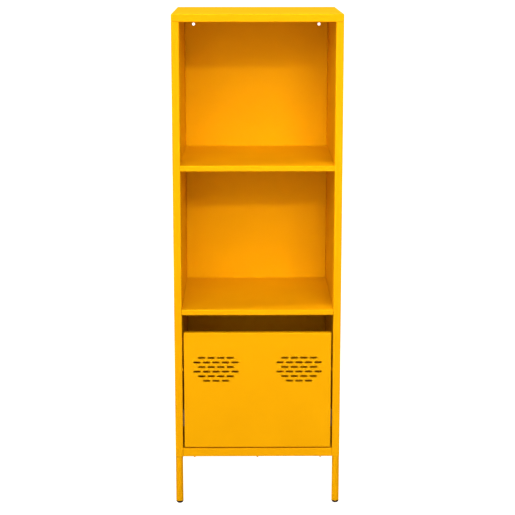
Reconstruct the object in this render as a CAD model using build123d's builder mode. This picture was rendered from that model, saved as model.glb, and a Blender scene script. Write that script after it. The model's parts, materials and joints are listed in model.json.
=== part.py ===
from build123d import *
import os

# A tall steel highboard: two open bays over one pull-out drawer, on four round legs.
# Millimetres. The origin is on the floor under the middle of the body, the front faces -Y,
# and +X is the right-hand side as seen from the front.

# Driving dimensions of the body.
width = 425.0             # outside, side to side
depth = 390.0             # outside, front to back
leg_height = 128.5        # floor to the underside of the body
base_lip = 22.0           # front rail under the drawer
bay_height = 355.5        # clear height of each of the three bays
shelf_lip = 14.0          # folded front edge of a shelf
top_lip = 19.5            # folded edge of the top
post = 19.5               # thickness of a hollow side wall
sheet = 0.8               # steel sheet
bend = 2.2                # outside radius of a fold
seam = 0.3                # gap where two painted parts meet
post_return = 15.0        # how far the posts fold back into the body
back_recess = 10.0        # back panel, in from the rear of the body
side_hem = 31.0           # inward folds of the top, at the sides and at the ends
end_hem = 15.0
shelf_hem = 12.0

# Legs and feet.
leg_diameter = 19.0
leg_wall = 1.2
cap_height = 7.3          # black cap below the tube
cap_flat = 9.0            # diameter that meets the floor
cap_plug = 12.0           # how far the cap reaches up into the tube
cap_taper = 0.6
stud_diameter = 8.0
stud_length = 18.0
end_plate = 3.0           # welded into the top of the tube
nut_plate_size = (15.0, 28.0, 4.0)
nut_plate_shift = 6.0     # from the leg's axis towards the middle of the wall

# Drawer.
drawer_width = 377.5
drawer_height = 305.4
drawer_gap = 3.2          # under the drawer front
drawer_front_depth = 18.0
drawer_hem = 14.0
drawer_side_hem = 24.0
box_width = 360.0         # outside of the drawer box
box_rise = 9.3            # drawer front's lower edge to the box's underside
box_height = 195.0
box_rear = 170.0          # Y of the rear of the drawer box
box_flange = 14.0
box_rim = 8.0             # inward fold along the top of a drawer side

# Slots in the drawer front: two mirrored groups of staggered rows.
slot_length = 19.0
slot_height = 5.2
slot_pitch = 24.4
row_pitch = 12.2
row_counts = (4, 5, 4, 5, 4, 3)
slot_group_x = 106.5
first_row_drop = 65.3     # drawer front's upper edge to the first row

# Ball slides, three members to a side, full extension.
slide_length = 350.0
slide_setback = 22.0      # front of the body to the front of the slide
slide_rise = 72.3         # drawer front's lower edge to the slide's middle
slide_gauge = 1.2
slide_end_room = 12.0     # behind the middle and drawer members, for the bumpers
slide_half_heights = (22.5, 18.1, 13.7)
cabinet_member_reach = 9.5
middle_member_inset = 2.7     # from the wall to the middle member's web
middle_member_reach = 8.1
drawer_member_reach = 7.9
member_bend = 1.0
ball_diameter = 3.0
ball_pitch = 14.0
balls_in_row = 6
cage_length = 84.0
cage_strip = (5.0, 0.6)
cage_front = -40.0
ball_insets = (6.0, 8.0)  # from the wall to the outer and the inner balls
bumper_reach = 7.5        # from the cabinet member's web towards the drawer
bumper_length = 10.0
lever_length = 70.0
lever_height = 9.0
lever_thickness = 1.6
lever_middle = 75.0       # Y of the middle of a release lever
lever_pad = 2.5           # thickness of the thumb pad over the strip

# Brackets inside the side walls, behind the slides, and the channel in the front rail.
bracket_gauge = 1.2
bracket_height = 225.0
bracket_rise = 10.0       # above the base
stiffener_size = (360.0, 11.0)
stiffener_gauge = 1.0

# Wall anchoring holes in the back panel.
wall_hole_diameter = 8.0
wall_hole_spacing = 338.0
wall_hole_drop = 45.3     # below the top

# Fasteners: shank diameter, shank length, head diameter, head height.
m4_screw = (3.9, 6.0, 7.0, 2.0)
flat_screw = (3.9, 6.0, 7.0, 0.9)
back_screw = (3.9, 6.0, 6.0, 2.0)
short_screw = (3.9, 3.4, 7.0, 1.8)
rail_screw = (2.9, 6.0, 4.6, 3.2)
rivet = (3.1, 2.4, 6.0, 1.0)
hole_clearance = 0.2
top_screw_inset = 5.75    # from a wall's inner face towards the middle
front_screw_inset = 7.6   # from the drawer box's outside
rivet_inset = 7.0
bracket_screw_rise = 135.0    # above the slides' middle

# Levels and places worked out from the above.
half_width = width / 2
front = -depth / 2
rear = depth / 2
inner_half = half_width - post
back_face = rear - back_recess
back_screw_y = back_face + bend + back_screw[2] / 2
base_top = leg_height + base_lip
lower_shelf_top = base_top + bay_height + shelf_lip
upper_shelf_top = lower_shelf_top + bay_height + shelf_lip
skirt_bottom = upper_shelf_top + bay_height
height = skirt_bottom + top_lip
side_height = skirt_bottom - leg_height
side_middle = leg_height + side_height / 2
shelf_width = 2 * (inner_half - seam)
shelf_depth = back_face - seam - front
shelf_flange_x = inner_half - seam - sheet
leg_x = half_width - leg_diameter / 2
leg_y = rear - leg_diameter / 2
drawer_bottom_z = base_top + drawer_gap
drawer_top_z = drawer_bottom_z + drawer_height
drawer_middle = drawer_bottom_z + drawer_height / 2
box_bottom_z = drawer_bottom_z + box_rise
box_top_z = box_bottom_z + box_height
box_half = box_width / 2
box_front = front + drawer_front_depth
slide_front = front + slide_setback
slide_z = drawer_bottom_z + slide_rise
ball_levels = (
    slide_half_heights[0] - slide_gauge - (ball_diameter + hole_clearance) / 2,
    slide_half_heights[1] - slide_gauge - (ball_diameter + hole_clearance) / 2,
)
ball_lines = [inner_half - inset for inset in ball_insets]
bottom = (Align.CENTER, Align.CENTER, Align.MIN)
hands = {"left": -1, "right": 1}


def rounded_block(size, centre, radius, *directions):
    """A block whose edges along the given directions are rounded."""
    with BuildPart() as block:
        with Locations(centre):
            Box(*size)
        chosen = ShapeList()
        for direction in directions:
            chosen += block.edges().filter_by(direction)
        fillet(chosen, radius)
    return block.part


def hollow_block(size, centre, *directions):
    """The same block as closed sheet metal, one sheet thick."""
    outside = rounded_block(size, centre, bend, *directions)
    inner_size = [length - 2 * sheet for length in size]
    inside = rounded_block(inner_size, centre, bend - sheet, *directions)
    with BuildPart() as hollow:
        add(outside)
        add(inside, mode=Mode.SUBTRACT)
    return hollow.part


def seat(place):
    """The plane of a fastener's seat: its origin, with Z along the shank."""
    point, direction = place
    return Plane(origin=point, z_dir=direction)


def drill(places, diameter):
    """Holes through the part being built, one at each fastener."""
    with Locations(*[seat(place) for place in places]):
        Cylinder((diameter + hole_clearance) / 2, 8.0, mode=Mode.SUBTRACT)


def fastener_group(label, places, shank, length, head, head_height):
    """A set of identical fasteners, each one a solid with a cross recess in its head."""
    with BuildPart() as one:
        Cylinder(shank / 2, length, align=bottom)
        with Locations((0, 0, -head_height)):
            Cylinder(head / 2, head_height, align=bottom)
        fillet(one.edges().group_by(Axis.Z)[0], head_height * 0.6)
        with Locations((0, 0, -head_height)):
            Box(head * 0.5, head * 0.13, head_height, mode=Mode.SUBTRACT)
            Box(head * 0.13, head * 0.5, head_height, mode=Mode.SUBTRACT)
    with BuildPart() as group:
        with Locations(*[seat(place) for place in places]):
            add(one.part)
    finish(group, label)


def finish(builder, label):
    """Label a finished piece and write it out."""
    builder.part.label = label
    export_step(builder.part, f"parts/{label}.step")


# Every fastener's place: a point on its seat and the direction of its shank.
sides = (-1, 1)
top_places = [
    ((side * (inner_half - top_screw_inset), y, skirt_bottom - sheet), (0, 0, 1))
    for side in sides
    for y in (-120, 0, 120)
]
shelf_places = {
    name: [
        ((side * shelf_flange_x, y, top - shelf_lip / 2), (side, 0, 0))
        for side in sides
        for y in (-140, 140)
    ]
    for name, top in (("upper", upper_shelf_top), ("lower", lower_shelf_top))
}
base_places = [
    ((side * shelf_flange_x, y, leg_height + base_lip / 2), (side, 0, 0))
    for side in sides
    for y in (-120, 120)
]
back_places = [
    ((side * (inner_half - sheet), back_screw_y, z), (side, 0, 0))
    for side in sides
    for z in (180, 430, 680, 930, 1180)
]
rail_places = [((x, front + 5.0, leg_height), (0, 0, 1)) for x in (-163, 0, 163)]
slide_cabinet_places = [
    ((side * (inner_half - slide_gauge), y, slide_z), (side, 0, 0))
    for side in sides
    for y in (slide_front + 20, slide_front + 175, slide_front + 330)
]
bracket_places = [
    ((side * inner_half, y, slide_z + bracket_screw_rise), (side, 0, 0))
    for side in sides
    for y in (front + 6.0, 160.0)
]
slide_drawer_places = [
    ((side * (box_half + slide_gauge), y, slide_z), (-side, 0, 0))
    for side in sides
    for y in (-140, 0, 150)
]
drawer_front_places = [
    ((side * (box_half - front_screw_inset), box_front + sheet, z), (0, -1, 0))
    for side in sides
    for z in (190, 260, 330)
]
drawer_bottom_places = [
    ((side * (box_half - rivet_inset), y, box_bottom_z), (0, 0, 1))
    for side in sides
    for y in (-140, 0, 140)
]
drawer_back_places = [
    ((side * box_half, box_rear - rivet_inset, z), (-side, 0, 0))
    for side in sides
    for z in (185, 265, 345)
]

os.makedirs("parts", exist_ok=True)

# Top: a tray folded down all round, with its rim folded inwards.
with BuildPart() as top_panel:
    add(hollow_block((width, depth, top_lip), (0, 0, height - top_lip / 2), Axis.X, Axis.Y, Axis.Z))
    with Locations((0, 0, skirt_bottom + sheet / 2)):
        Box(width - 2 * side_hem, depth - 2 * end_hem, 2 * sheet, mode=Mode.SUBTRACT)
    drill(top_places, m4_screw[0])
finish(top_panel, "top_panel")

# Side walls: an outer skin folded round both posts, and a liner that closes it inside.
for hand, side in hands.items():
    post_middle = side * (half_width - post / 2)
    tab_width = side_hem - post
    with BuildPart() as side_skin:
        add(hollow_block((post, depth, side_height), (post_middle, 0, side_middle), Axis.Z))
        with Locations((side * (inner_half + sheet / 2), 0, side_middle)):
            Box(2 * sheet, depth - 2 * post_return, side_height - 2 * sheet, mode=Mode.SUBTRACT)
        with Locations((side * (inner_half - tab_width / 2), 0, skirt_bottom - sheet / 2)):
            Box(tab_width, depth - 4 * post_return, sheet)
        with Locations((side * leg_x, -leg_y, leg_height), (side * leg_x, leg_y, leg_height)):
            Cylinder(stud_diameter / 2 + hole_clearance, 4 * sheet, mode=Mode.SUBTRACT)
        drill(top_places, m4_screw[0])
        drill(back_places, back_screw[0])
        drill(bracket_places, m4_screw[0])
    finish(side_skin, f"side_skin_{hand}")

    with BuildPart() as side_liner:
        liner_half = rear - post_return - seam
        lap = 7.5
        with BuildSketch(Plane.XY.offset(leg_height + sheet)):
            with Locations((side * (inner_half + sheet / 2), 0)):
                Rectangle(sheet, 2 * liner_half)
            lap_middle = liner_half + lap / 2 - sheet
            with Locations((side * (inner_half + 1.5 * sheet), 0)):
                with GridLocations(1, 2 * lap_middle, 1, 2):
                    Rectangle(sheet, lap + sheet)
        extrude(amount=side_height - 2 * sheet)
        for places in (*shelf_places.values(), base_places):
            drill(places, m4_screw[0])
        drill(slide_cabinet_places, flat_screw[0])
        drill(bracket_places, m4_screw[0])
    finish(side_liner, f"side_liner_{hand}")

# Back panel: a shallow tray set between the rear posts, with two holes for wall anchors.
back_height = side_height - 2 * seam
back_depth = back_recess - 1.0
with BuildPart() as back_panel:
    blank_depth = back_depth + 2 * bend
    blank_middle = (0, back_face + blank_depth / 2, side_middle)
    add(hollow_block((2 * inner_half, blank_depth, back_height), blank_middle, Axis.X, Axis.Z))
    with Locations((0, back_face + back_depth, side_middle)):
        open_rear = (Align.CENTER, Align.MIN, Align.CENTER)
        Box(width, blank_depth, height, align=open_rear, mode=Mode.SUBTRACT)
    wall_holes = [
        ((side * wall_hole_spacing / 2, back_face, height - wall_hole_drop), (0, 1, 0))
        for side in sides
    ]
    drill(wall_holes, wall_hole_diameter - hole_clearance)
    drill(back_places, back_screw[0])
finish(back_panel, "back_panel")

# Shelves: trays folded down, with the front and rear edges folded inwards again.
for name, top in (("upper", upper_shelf_top), ("lower", lower_shelf_top)):
    with BuildPart() as shelf:
        shelf_centre = (0, front + shelf_depth / 2, top - shelf_lip / 2)
        add(hollow_block((shelf_width, shelf_depth, shelf_lip), shelf_centre, Axis.X))
        with Locations((0, front + shelf_depth / 2, top - shelf_lip + sheet / 2)):
            window = (shelf_width - 2 * sheet, shelf_depth - 2 * shelf_hem, 2 * sheet)
            Box(*window, mode=Mode.SUBTRACT)
        drill(shelf_places[name], m4_screw[0])
    finish(shelf, f"shelf_{name}")

# Base: a deeper tray whose front is the rail under the drawer.
with BuildPart() as base_panel:
    base_centre = (0, front + shelf_depth / 2, leg_height + base_lip / 2)
    add(hollow_block((shelf_width, shelf_depth, base_lip), base_centre, Axis.X))
    with Locations((0, front + shelf_depth / 2, leg_height + sheet / 2)):
        Box(shelf_width - 2 * sheet, shelf_depth - 2 * end_hem, 2 * sheet, mode=Mode.SUBTRACT)
    drill(base_places, m4_screw[0])
    drill(rail_places, rail_screw[0])
finish(base_panel, "base_panel")

# Stiffener: a channel inside the front rail, held by the three screws under it.
with BuildPart() as base_stiffener:
    channel_length, channel_depth = stiffener_size
    channel_rise = base_lip - 2 * sheet - stiffener_gauge
    channel_y = front + bend + channel_depth / 2
    with Locations((0, channel_y, leg_height + sheet)):
        Box(channel_length, channel_depth, channel_rise, align=bottom)
    with Locations((0, channel_y - stiffener_gauge, leg_height + sheet + stiffener_gauge)):
        open_rise = channel_rise - 2 * stiffener_gauge
        Box(channel_length, channel_depth, open_rise, align=bottom, mode=Mode.SUBTRACT)
    drill(rail_places, rail_screw[0])
finish(base_stiffener, "base_stiffener")

# Legs: tube with a welded end plate and stud, a threaded plate above and a black cap below.
for row, leg_row_y in (("front", -leg_y), ("rear", leg_y)):
    for hand, side in hands.items():
        leg_place = (side * leg_x, leg_row_y)
        with BuildPart() as leg:
            with BuildSketch(Plane.XY.offset(cap_height)):
                with Locations(leg_place):
                    Circle(leg_diameter / 2)
                    Circle(leg_diameter / 2 - leg_wall, mode=Mode.SUBTRACT)
            extrude(amount=leg_height - cap_height)
            with Locations((*leg_place, leg_height - end_plate)):
                Cylinder(leg_diameter / 2 - leg_wall, end_plate, align=bottom)
                Cylinder(stud_diameter / 2, stud_length, align=bottom)
        finish(leg, f"leg_{row}_{hand}")

        with BuildPart() as nut_plate:
            plate_y = leg_row_y + (nut_plate_shift if row == "front" else -nut_plate_shift)
            with Locations((side * leg_x, plate_y, leg_height + sheet)):
                Box(*nut_plate_size, align=bottom)
            with Locations((*leg_place, leg_height + sheet)):
                stud_hole = (stud_diameter + hole_clearance) / 2
                Cylinder(stud_hole, 3 * nut_plate_size[2], mode=Mode.SUBTRACT)
        finish(nut_plate, f"leg_nut_plate_{row}_{hand}")

        with BuildPart() as foot_cap:
            plug_radius = leg_diameter / 2 - leg_wall - hole_clearance / 2
            plug_top = cap_height + cap_plug
            with BuildSketch(Plane.XZ):
                with BuildLine():
                    Polyline((0, plug_top), (0, 0), (cap_flat / 2, 0))
                    rim = (leg_diameter / 2, cap_height - 1.0)
                    TangentArc(rim, (cap_flat / 2, 0), tangent=(0, -1))
                    Polyline(
                        rim,
                        (leg_diameter / 2, cap_height),
                        (plug_radius, cap_height),
                        (plug_radius - cap_taper, plug_top),
                        (0, plug_top),
                    )
                make_face()
            revolve(axis=Axis.Z)
        foot_cap.part.position = (*leg_place, 0)
        finish(foot_cap, f"foot_cap_{row}_{hand}")

# Brackets inside the hollow side walls, behind the slides.
for row, bracket_ends in (("front", (front + 2.4, -140.0)), ("rear", (140.0, 178.0))):
    for hand, side in hands.items():
        bracket_start = inner_half + 2 * sheet
        bracket_reach = half_width - sheet - 0.2 - bracket_start
        bracket_length = bracket_ends[1] - bracket_ends[0]
        middle_x = side * (bracket_start + bracket_reach / 2)
        middle_y = sum(bracket_ends) / 2
        with BuildPart() as bracket:
            with BuildSketch(Plane.XY.offset(base_top + bracket_rise)):
                with Locations((middle_x, middle_y)):
                    Rectangle(bracket_reach, bracket_length)
                with Locations((middle_x + side * bracket_gauge, middle_y)):
                    inner_length = bracket_length - 2 * bracket_gauge
                    Rectangle(bracket_reach, inner_length, mode=Mode.SUBTRACT)
            extrude(amount=bracket_height)
            drill(slide_cabinet_places, flat_screw[0])
            drill(bracket_places, m4_screw[0])
        finish(bracket, f"slide_bracket_{row}_{hand}")


def slide_member(side, web, edge, half_height, length, places, shank):
    """A C-shaped slide member: its web lies at X = web and its flanges reach to X = edge."""
    inwards = 1 if edge > web else -1
    with BuildPart() as member:
        with BuildSketch(Plane.XZ.offset(-slide_front)):
            with Locations((side * (web + edge) / 2, slide_z)):
                Rectangle(abs(edge - web), 2 * half_height)
            with Locations((side * ((web + edge) / 2 + inwards * slide_gauge), slide_z)):
                Rectangle(abs(edge - web), 2 * (half_height - slide_gauge), mode=Mode.SUBTRACT)
        extrude(amount=-length)
        outer_face = member.faces().sort_by(Axis.X)[0 if side * inwards > 0 else -1]
        fillet(outer_face.edges().filter_by(Axis.Y), member_bend)
        if places:
            drill(places, shank)
    return member


# Slides: the cabinet, middle and drawer members of each side, nested in one another.
for hand, side in hands.items():
    outer_half, middle_half, drawer_half = slide_half_heights
    inner_length = slide_length - slide_end_room
    cabinet_member = slide_member(
        side,
        inner_half,
        inner_half - cabinet_member_reach,
        outer_half,
        slide_length,
        slide_cabinet_places,
        flat_screw[0],
    )
    finish(cabinet_member, f"slide_cabinet_{hand}")
    middle_web = inner_half - middle_member_inset
    middle_member = slide_member(
        side, middle_web, middle_web - middle_member_reach, middle_half, inner_length, None, 0
    )
    finish(middle_member, f"slide_middle_{hand}")
    drawer_member = slide_member(
        side,
        box_half,
        box_half + drawer_member_reach,
        drawer_half,
        inner_length,
        slide_drawer_places,
        short_screw[0],
    )
    finish(drawer_member, f"slide_drawer_{hand}")

# Bumpers: rubber blocks in the rear ends of the cabinet members.
with BuildPart() as slide_bumpers:
    bumper_height = 2 * (slide_half_heights[0] - slide_gauge)
    bumper_y = slide_front + slide_length - 1.0 - bumper_length / 2
    for side in sides:
        with Locations((side * (inner_half - slide_gauge - bumper_reach / 2), bumper_y, slide_z)):
            Box(bumper_reach, bumper_length, bumper_height)
    fillet(slide_bumpers.edges().filter_by(Axis.Z), 1.5)
finish(slide_bumpers, "slide_bumpers")

# Release levers: a plastic strip in each drawer member, with a raised thumb pad.
with BuildPart() as slide_release_levers:
    for side in sides:
        lever_plane = Plane(
            origin=(side * (box_half + slide_gauge), lever_middle, slide_z),
            x_dir=(0, 1, 0),
            z_dir=(side, 0, 0),
        )
        with BuildSketch(lever_plane):
            SlotOverall(lever_length, lever_height)
        extrude(amount=lever_thickness)
        with BuildSketch(lever_plane):
            with Locations((-lever_length / 2 + lever_height, 0)):
                RectangleRounded(1.4 * lever_height, lever_height - 2.0, 2.0)
        extrude(amount=lever_thickness + lever_pad)
finish(slide_release_levers, "slide_release_levers")

# Ball cages and balls: an outer pair round the middle member and an inner pair inside it.
for ring, line, level in zip(("outer", "inner"), ball_lines, ball_levels):
    ball_places = {
        side: [
            (side * line, cage_front + ball_pitch * (index + 0.5), slide_z + race * level)
            for race in (-1, 1)
            for index in range(balls_in_row)
        ]
        for side in sides
    }
    for hand, side in hands.items():
        with BuildPart() as cage:
            for race in (-1, 1):
                with Locations((side * line, cage_front + cage_length / 2, slide_z + race * level)):
                    Box(cage_strip[0], cage_length, cage_strip[1])
            with Locations(*ball_places[side]):
                Cylinder(ball_diameter / 2 + 0.1, 2.0, mode=Mode.SUBTRACT)
        finish(cage, f"{ring}_cage_{hand}")
    with BuildPart() as balls:
        with Locations(*ball_places[-1], *ball_places[1]):
            Sphere(ball_diameter / 2)
    finish(balls, f"{ring}_balls")

# Drawer front: a pan folded back all round, with its rim folded in and the slots cut through.
with BuildPart() as drawer_front:
    pan_centre = (0, front + drawer_front_depth / 2, drawer_middle)
    pan_size = (drawer_width, drawer_front_depth, drawer_height)
    add(hollow_block(pan_size, pan_centre, Axis.X, Axis.Y, Axis.Z))
    with Locations((0, box_front - sheet / 2, drawer_middle)):
        opening = (drawer_width - 2 * drawer_side_hem, 2 * sheet, drawer_height - 2 * drawer_hem)
        Box(*opening, mode=Mode.SUBTRACT)
    with BuildSketch(Plane.XZ.offset(-front)):
        for side in sides:
            for row, count in enumerate(row_counts):
                row_z = drawer_top_z - first_row_drop - row * row_pitch
                with Locations((side * slot_group_x, row_z)):
                    with GridLocations(slot_pitch, 1, count, 1):
                        SlotOverall(slot_length, slot_height)
    extrude(amount=-2 * sheet, mode=Mode.SUBTRACT)
    drill(drawer_front_places, m4_screw[0])
finish(drawer_front, "drawer_front")

# Drawer sides: sheets folded inwards along the top, the bottom and the front.
for hand, side in hands.items():
    side_length = box_rear - box_front
    with BuildPart() as drawer_side:
        with Locations((side * (box_half - sheet / 2), box_front + side_length / 2, box_bottom_z)):
            Box(sheet, side_length, box_height, align=bottom)
        with Locations(
            (side * (box_half - box_flange / 2), box_front + side_length / 2, box_bottom_z),
        ):
            Box(box_flange, side_length, sheet, align=bottom)
        with Locations(
            (side * (box_half - box_rim / 2), box_front + side_length / 2, box_top_z - sheet),
        ):
            Box(box_rim, side_length, sheet, align=bottom)
        with Locations((side * (box_half - box_flange / 2), box_front + sheet / 2, box_bottom_z)):
            Box(box_flange, sheet, box_height, align=bottom)
        outer_face = drawer_side.faces().sort_by(Axis.X)[0 if side < 0 else -1]
        fillet(outer_face.edges().filter_by(Axis.Y), bend - sheet)
        drill(drawer_front_places, m4_screw[0])
        drill(slide_drawer_places, short_screw[0])
        drill(drawer_bottom_places, rivet[0])
        drill(drawer_back_places, rivet[0])
    finish(drawer_side, f"drawer_side_{hand}")

# Drawer bottom: a flat sheet on the sides' lower folds.
with BuildPart() as drawer_bottom:
    floor_width = box_width - 2 * sheet - 0.2
    floor_length = box_rear - box_front - sheet
    with Locations((0, box_rear - floor_length / 2, box_bottom_z + sheet)):
        Box(floor_width, floor_length, sheet, align=bottom)
    drill(drawer_bottom_places, rivet[0])
finish(drawer_bottom, "drawer_bottom")

# Drawer back: a sheet with its two ends and its top folded forwards.
with BuildPart() as drawer_back:
    back_z = box_bottom_z + 2 * sheet
    back_rise = box_height - 3 * sheet
    with Locations((0, box_rear, back_z)):
        Box(box_width - 2 * sheet, sheet, back_rise, align=(Align.CENTER, Align.MAX, Align.MIN))
        with GridLocations(box_width - 3 * sheet, 1, 2, 1):
            Box(sheet, box_flange, back_rise, align=(Align.CENTER, Align.MAX, Align.MIN))
    with Locations((0, box_rear, back_z + back_rise)):
        Box(box_width - 20.0, box_flange, sheet, align=(Align.CENTER, Align.MAX, Align.MAX))
    drill(drawer_back_places, rivet[0])
finish(drawer_back, "drawer_back")

# Fasteners, each kind in a node of its own.
fastener_group("top_screws", top_places, *m4_screw)
fastener_group("upper_shelf_screws", shelf_places["upper"], *m4_screw)
fastener_group("lower_shelf_screws", shelf_places["lower"], *m4_screw)
fastener_group("base_screws", base_places, *m4_screw)
fastener_group("back_panel_screws", back_places, *back_screw)
fastener_group("base_rail_screws", rail_places, *rail_screw)
fastener_group("slide_cabinet_screws", slide_cabinet_places, *flat_screw)
fastener_group("slide_bracket_screws", bracket_places, *m4_screw)
fastener_group("slide_drawer_screws", slide_drawer_places, *short_screw)
fastener_group("drawer_front_screws", drawer_front_places, *m4_screw)
fastener_group("drawer_bottom_rivets", drawer_bottom_places, *rivet)
fastener_group("drawer_back_rivets", drawer_back_places, *rivet)
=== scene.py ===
import json
import math

import bpy
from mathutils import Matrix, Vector


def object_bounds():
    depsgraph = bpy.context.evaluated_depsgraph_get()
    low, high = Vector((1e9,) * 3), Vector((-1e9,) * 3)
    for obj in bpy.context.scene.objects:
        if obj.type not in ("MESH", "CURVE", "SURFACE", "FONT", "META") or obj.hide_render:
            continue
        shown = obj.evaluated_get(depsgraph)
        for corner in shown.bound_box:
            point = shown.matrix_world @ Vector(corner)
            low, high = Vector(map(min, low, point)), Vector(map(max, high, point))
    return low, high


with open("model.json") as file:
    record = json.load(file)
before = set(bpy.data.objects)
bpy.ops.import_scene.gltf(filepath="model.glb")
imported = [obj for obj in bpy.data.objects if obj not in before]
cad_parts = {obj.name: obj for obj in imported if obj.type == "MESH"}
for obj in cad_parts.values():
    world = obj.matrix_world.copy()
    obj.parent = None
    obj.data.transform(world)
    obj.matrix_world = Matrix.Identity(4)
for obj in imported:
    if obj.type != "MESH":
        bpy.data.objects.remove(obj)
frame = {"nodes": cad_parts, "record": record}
cad_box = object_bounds()
scene = bpy.context.scene

# Where things are, from the frame. The front of the cabinet faces -Y.
low, high = cad_box
middle = (low + high) / 2

# Camera: its place is measured from the front of the cabinet, and it looks slightly down.
camera_distance = 3.773
camera_height = 1.448
camera_left = 0.033
camera_lens = 106.7
camera_tilt = 11.85       # degrees below level
camera_turn = 0.5         # degrees to the right

# Every studio light has the same warm colour. The far ones stand well outside the cabinet.
light_colour = (1.0, 0.68, 0.42)
far_distance = 5.0

# Floor: half its size, how far it lies below the feet, how brightly the camera sees it,
# and the greys it has for the camera and for other rays.
floor_half_size = 60.0
floor_drop = 0.0002
floor_glow = 1.1
floor_seen_grey = (0.25, 0.25, 0.25)
floor_bounce_grey = (0.30, 0.29, 0.28)
white = (1.0, 1.0, 1.0)


# ---------------------------------------------------------------- node helpers

def new_material(name):
    """An empty node material with its output and a Principled shader."""
    material = bpy.data.materials.new(name)
    material.use_nodes = True
    nodes = material.node_tree.nodes
    nodes.clear()
    output = nodes.new("ShaderNodeOutputMaterial")
    shader = nodes.new("ShaderNodeBsdfPrincipled")
    material.node_tree.links.new(shader.outputs["BSDF"], output.inputs["Surface"])
    return material, shader


def add_node(owner, kind, **values):
    """A node in a material or world, with its unlinked inputs set by name."""
    node = owner.node_tree.nodes.new(kind)
    for name, value in values.items():
        node.inputs[name].default_value = value
    return node


def link(owner, source, target):
    owner.node_tree.links.new(source, target)


def seen_or_not(owner, seen, unseen, output):
    """Show one shader to the camera and another to every other ray."""
    path = add_node(owner, "ShaderNodeLightPath")
    choice = add_node(owner, "ShaderNodeMixShader")
    link(owner, path.outputs["Is Camera Ray"], choice.inputs["Fac"])
    link(owner, unseen.outputs[0], choice.inputs[1])
    link(owner, seen.outputs[0], choice.inputs[2])
    link(owner, choice.outputs["Shader"], output.inputs["Surface"])


def noise(material, vector, scale, detail=3.0, stretch=(1, 1, 1)):
    """Noise in the object's own coordinates, in features per metre."""
    mapping = add_node(material, "ShaderNodeMapping")
    mapping.inputs["Scale"].default_value = stretch
    link(material, vector, mapping.inputs["Vector"])
    texture = add_node(material, "ShaderNodeTexNoise", Scale=scale, Detail=detail)
    link(material, mapping.outputs["Vector"], texture.inputs["Vector"])
    return texture.outputs["Fac"]


def ramp(material, factor, stops):
    """A colour ramp from (position, colour) pairs."""
    node = add_node(material, "ShaderNodeValToRGB")
    elements = node.color_ramp.elements
    while len(elements) < len(stops):
        elements.new(0.5)
    for element, (position, colour) in zip(elements, stops):
        element.position = position
        element.color = (*colour, 1.0)
    link(material, factor, node.inputs["Fac"])
    return node.outputs["Color"]


def spread(material, factor, lowest, highest):
    """A factor mapped onto a range of values."""
    node = add_node(material, "ShaderNodeMapRange")
    node.inputs["To Min"].default_value = lowest
    node.inputs["To Max"].default_value = highest
    link(material, factor, node.inputs["Value"])
    return node.outputs["Result"]


def bump(material, shader, heights, distance, strength, normal=None):
    node = add_node(material, "ShaderNodeBump", Strength=strength, Distance=distance)
    link(material, heights, node.inputs["Height"])
    if normal is not None:
        link(material, normal, node.inputs["Normal"])
    link(material, node.outputs["Normal"], shader.inputs["Normal"])
    return node.outputs["Normal"]


# ------------------------------------------------------------------- materials

def powder_coat():
    """Golden-yellow powder coat: satin, with a fine orange-peel skin and faint colour drift."""
    material, shader = new_material("powder_coat_yellow")
    place = add_node(material, "ShaderNodeTexCoord").outputs["Object"]
    drift = noise(material, place, 9.0, 4.0)
    colour = ramp(
        material,
        drift,
        ((0.30, (0.785, 0.503, 0.0014)), (0.70, (0.815, 0.528, 0.0020))),
    )
    link(material, colour, shader.inputs["Base Color"])
    peel = noise(material, place, 420.0, 2.0)
    link(material, spread(material, peel, 0.42, 0.54), shader.inputs["Roughness"])
    grain = noise(material, place, 1600.0, 2.0)
    first = bump(material, shader, peel, 0.00025, 0.35)
    bump(material, shader, grain, 0.00008, 0.30, first)
    shader.inputs["IOR"].default_value = 1.5
    shader.inputs["Specular IOR Level"].default_value = 0.18
    shader.inputs["Specular Tint"].default_value = (1.0, 0.72, 0.25, 1.0)
    return material


def zinc_steel():
    """Bright zinc plate on rolled steel: faint lengthwise streaks and a cloudy spangle."""
    material, shader = new_material("zinc_steel")
    place = add_node(material, "ShaderNodeTexCoord").outputs["Object"]
    streaks = noise(material, place, 700.0, 4.0, (1.0, 0.02, 1.0))
    cloud = noise(material, place, 60.0, 3.0)
    colour = ramp(material, cloud, ((0.3, (0.46, 0.53, 0.62)), (0.7, (0.60, 0.67, 0.75))))
    link(material, colour, shader.inputs["Base Color"])
    link(material, spread(material, streaks, 0.24, 0.44), shader.inputs["Roughness"])
    bump(material, shader, streaks, 0.00005, 0.25)
    shader.inputs["Metallic"].default_value = 1.0
    return material


def ball_steel():
    """Polished ball steel under a thin film of grease."""
    material, shader = new_material("ball_steel")
    place = add_node(material, "ShaderNodeTexCoord").outputs["Object"]
    smear = noise(material, place, 500.0, 3.0)
    colour = ramp(material, smear, ((0.35, (0.58, 0.62, 0.66)), (0.75, (0.72, 0.78, 0.84))))
    link(material, colour, shader.inputs["Base Color"])
    link(material, spread(material, smear, 0.08, 0.26), shader.inputs["Roughness"])
    shader.inputs["Metallic"].default_value = 1.0
    return material


def black_plastic():
    """Moulded black plastic with a fine spark-eroded grain, scuffed a little greyer."""
    material, shader = new_material("black_plastic")
    place = add_node(material, "ShaderNodeTexCoord").outputs["Object"]
    scuff = noise(material, place, 240.0, 5.0)
    colour = ramp(material, scuff, ((0.45, (0.012, 0.011, 0.010)), (0.80, (0.032, 0.029, 0.026))))
    link(material, colour, shader.inputs["Base Color"])
    grain = noise(material, place, 2600.0, 2.0)
    link(material, spread(material, grain, 0.42, 0.62), shader.inputs["Roughness"])
    bump(material, shader, grain, 0.00006, 0.4)
    return material


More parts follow.
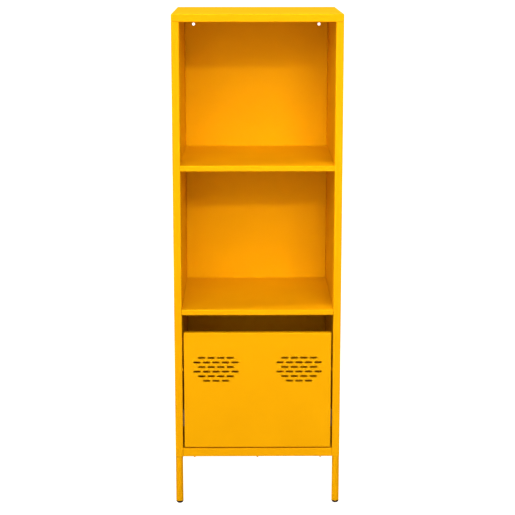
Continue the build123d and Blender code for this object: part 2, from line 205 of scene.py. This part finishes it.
materials = {
    "yellow_paint": powder_coat(),
    "zinc_steel": zinc_steel(),
    "polished_steel": ball_steel(),
    "black_plastic": black_plastic(),
}


def dress_cad_nodes():
    """Give every CAD node its procedural material and its slot."""
    slots = {part["node"]: part["material_slot"] for part in frame["record"]["subparts"]}
    for name, node in frame["nodes"].items():
        node.data.materials.clear()
        node.data.materials.append(materials[slots[name]])
        for polygon in node.data.polygons:
            polygon.material_index = 0


dress_cad_nodes()


# ------------------------------------------------------------ stage and lights

def pale_floor():
    """A wide floor. The camera sees it white; it bounces little light back."""
    mesh = bpy.data.meshes.new("floor")
    level = low.z - floor_drop
    corners = [
        (x * floor_half_size, y * floor_half_size, level)
        for x, y in ((-1, -1), (1, -1), (1, 1), (-1, 1))
    ]
    mesh.from_pydata(corners, [], [(0, 1, 2, 3)])
    floor = bpy.data.objects.new("floor", mesh)
    scene.collection.objects.link(floor)
    material = bpy.data.materials.new("floor_paint")
    material.use_nodes = True
    material.node_tree.nodes.clear()
    output = add_node(material, "ShaderNodeOutputMaterial")
    seen = add_node(material, "ShaderNodeAddShader")
    glow = add_node(
        material, "ShaderNodeEmission", Color=(*white, 1.0), Strength=floor_glow
    )
    paint = add_node(material, "ShaderNodeBsdfDiffuse", Color=(*floor_seen_grey, 1.0))
    dull = add_node(material, "ShaderNodeBsdfDiffuse", Color=(*floor_bounce_grey, 1.0))
    link(material, glow.outputs["Emission"], seen.inputs[0])
    link(material, paint.outputs["BSDF"], seen.inputs[1])
    seen_or_not(material, seen, dull, output)
    mesh.materials.append(material)


def studio_world(strength):
    """A soft surround: plain white to the camera, dim and warm as a light."""
    world = bpy.data.worlds.new("studio")
    scene.world = world
    world.use_nodes = True
    world.node_tree.nodes.clear()
    output = add_node(world, "ShaderNodeOutputWorld")
    shown = add_node(world, "ShaderNodeBackground", Color=(*white, 1.0), Strength=1.0)
    fill = add_node(
        world, "ShaderNodeBackground", Color=(*light_colour, 1.0), Strength=strength
    )
    seen_or_not(world, shown, fill, output)


def aim(light, place, target):
    """Put a light at a place, shining at a target."""
    light.location = place
    direction = Vector(target) - Vector(place)
    light.rotation_euler = direction.to_track_quat("-Z", "Y").to_euler()


def add_light(name, kind, power):
    """A studio light, not yet placed, and its settings."""
    data = bpy.data.lights.new(name, kind)
    data.energy = power
    data.color = light_colour
    light = bpy.data.objects.new(name, data)
    scene.collection.objects.link(light)
    return light, data


def softbox(name, place, target, size, power, spread_degrees=180.0):
    """A rectangular soft light, with a grid in front of it where its spread is narrow."""
    light, data = add_light(name, "AREA", power)
    data.shape = "RECTANGLE"
    data.size, data.size_y = size
    data.spread = math.radians(spread_degrees)
    aim(light, place, target)


def far_light(name, direction, strength, spread_degrees):
    """A far light that shines from a direction, with a soft edge to its shadows."""
    light, data = add_light(name, "SUN", strength)
    data.angle = math.radians(spread_degrees)
    aim(light, middle + far_distance * Vector(direction).normalized(), middle)


def add_camera():
    data = bpy.data.cameras.new("camera")
    data.lens = camera_lens
    camera = bpy.data.objects.new("camera", data)
    scene.collection.objects.link(camera)
    camera.location = (-camera_left, low.y - camera_distance, camera_height)
    pitch = math.radians(90.0 - camera_tilt)
    camera.rotation_euler = (pitch, 0.0, -math.radians(camera_turn))
    scene.camera = camera


pale_floor()
studio_world(0.11)
far_light("key_upper_left", (-1.0, -0.17, 1.0), 1.18, 3.0)
softbox("front_strip", (2.0, -10.2, 5.0), (0.0, -0.1, 0.9), (3.2, 0.3), 264.0)
far_light("top_light", (0.0, 0.06, 1.0), 2.4, 15.0)
far_light("low_fill", (-0.3, -0.95, 0.20), 0.20, 22.0)
far_light("back_light", (0.8, 0.7, 0.45), 3.2, 12.0)
softbox("left_softbox", (-0.9, -2.3, 2.3), (0.0, -0.1, 0.9), (1.4, 1.2), 31.0)
softbox("right_softbox", (0.5, -1.5, 2.0), (0.0, -0.1, 1.0), (1.0, 0.8), 14.0)
softbox("front_softbox", (0.1, -3.0, 1.3), (0.0, -0.1, 0.8), (2.0, 1.2), 21.0)
softbox("lower_bay_grid", (0.25, -3.4, 2.05), (0.0, 0.1, 0.70), (0.35, 0.35), 0.15, 14.0)
add_camera()
scene.view_settings.view_transform = "Standard"
